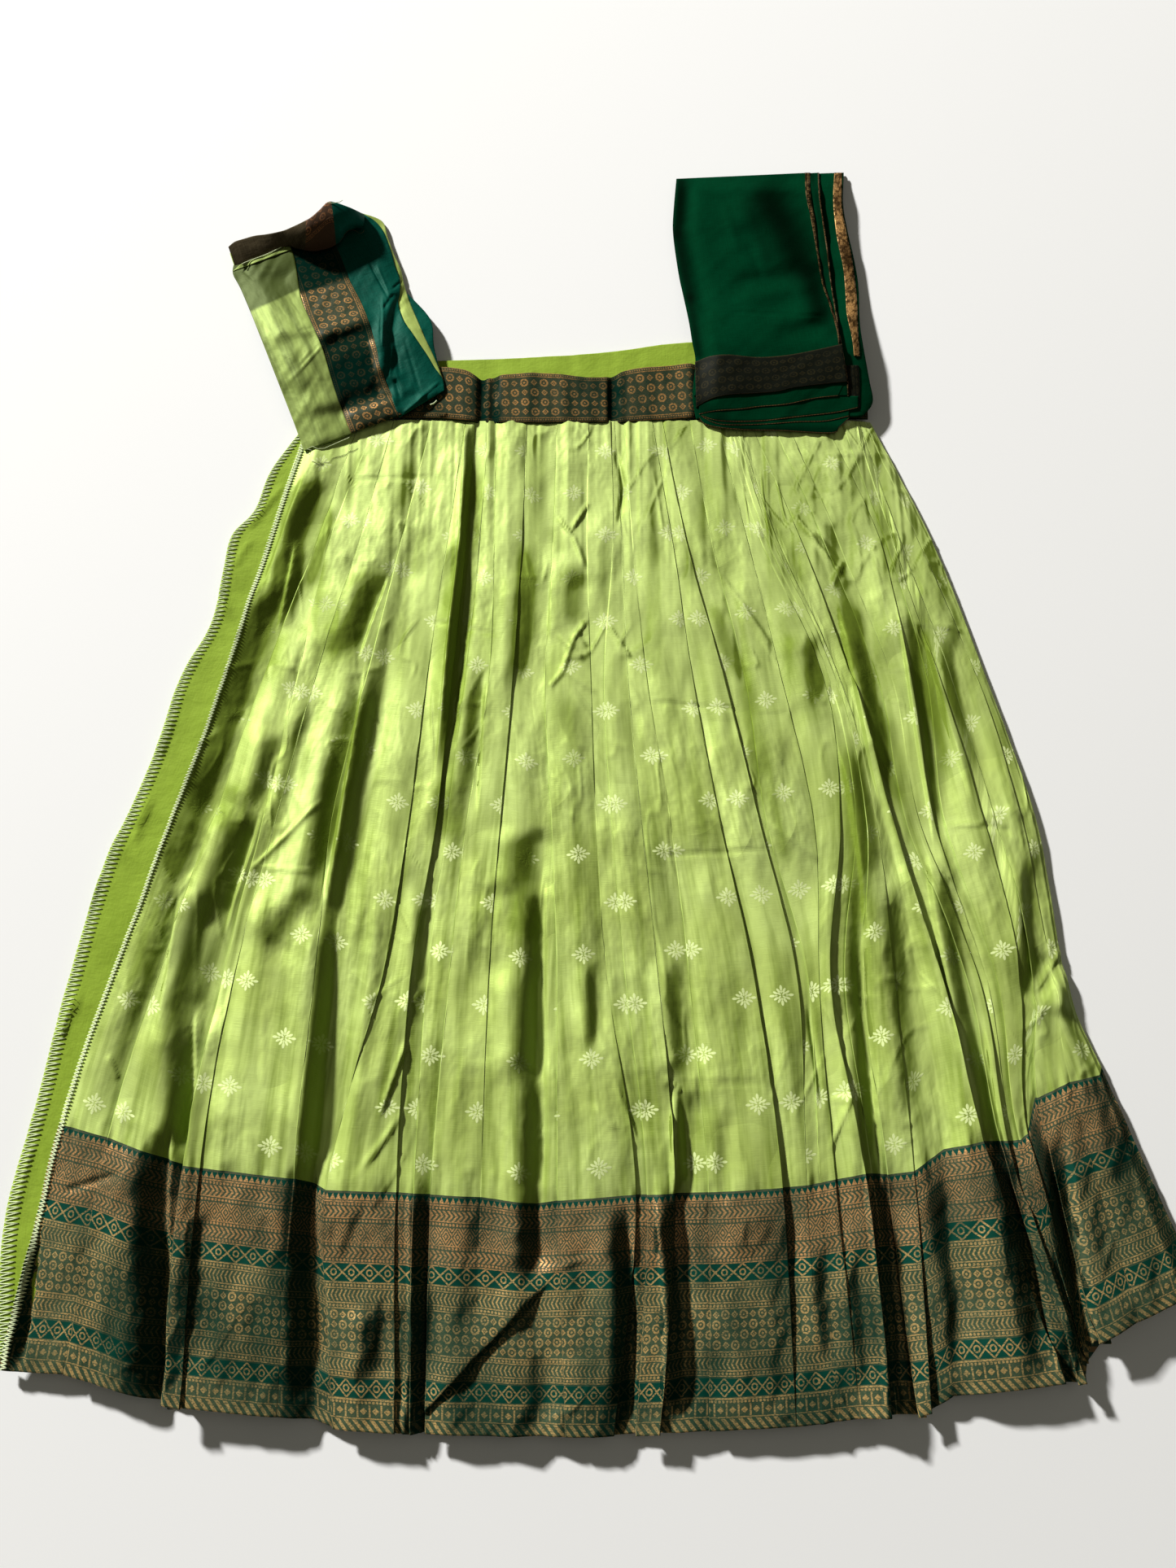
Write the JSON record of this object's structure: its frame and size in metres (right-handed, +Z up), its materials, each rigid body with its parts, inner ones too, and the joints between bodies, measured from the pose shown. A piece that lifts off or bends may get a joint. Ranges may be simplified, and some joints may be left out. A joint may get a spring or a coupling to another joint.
{
  "type": "half sari set, laid out flat",
  "caption": "Half sari laid out flat: pleated skirt with a woven metallic border and waistband, with a folded blouse piece and a folded dupatta lying over its waist.",
  "frame": {"origin": "middle of the set's footprint, on the surface that it lies on", "axes": "+Z up from the surface, +Y from the skirt's hem towards its waist, +X towards the skirt's closed right edge as seen from above with the hem nearest"},
  "size_m": [1.0622, 1.2788, 0.0439],
  "materials": {
    "lime_satin": "soft sheen satin with self-coloured woven motifs",
    "lime_lining": "plain matte lining",
    "gold_teal_zari": "antique gold figured weave on a dark teal ground",
    "zari_reverse": "dull brown reverse of the figured weave",
    "teal_satin": "teal satin",
    "dark_green_cloth": "fine matte dark green",
    "gold_lace": "antique gold woven edging"
  },
  "bodies": {
    "root": {"skirt_back": "lime_satin", "border_back": "gold_teal_zari", "lining": "lime_lining", "skirt_front": "lime_satin", "border_front": "gold_teal_zari", "waistband_front": "gold_teal_zari", "waistband_facing": "lime_lining", "waistband_back": "gold_teal_zari", "blouse_bundle": "teal_satin", "blouse_green": "lime_satin", "blouse_border": "gold_teal_zari", "blouse_teal": "teal_satin", "blouse_flap": "zari_reverse", "dupatta_bundle": "dark_green_cloth", "dupatta_top": "dark_green_cloth", "dupatta_border": "zari_reverse", "dupatta_lace": "gold_lace", "dupatta_lower_fold": "dark_green_cloth", "dupatta_last_fold": "dark_green_cloth"}
  },
  "joints": []
}
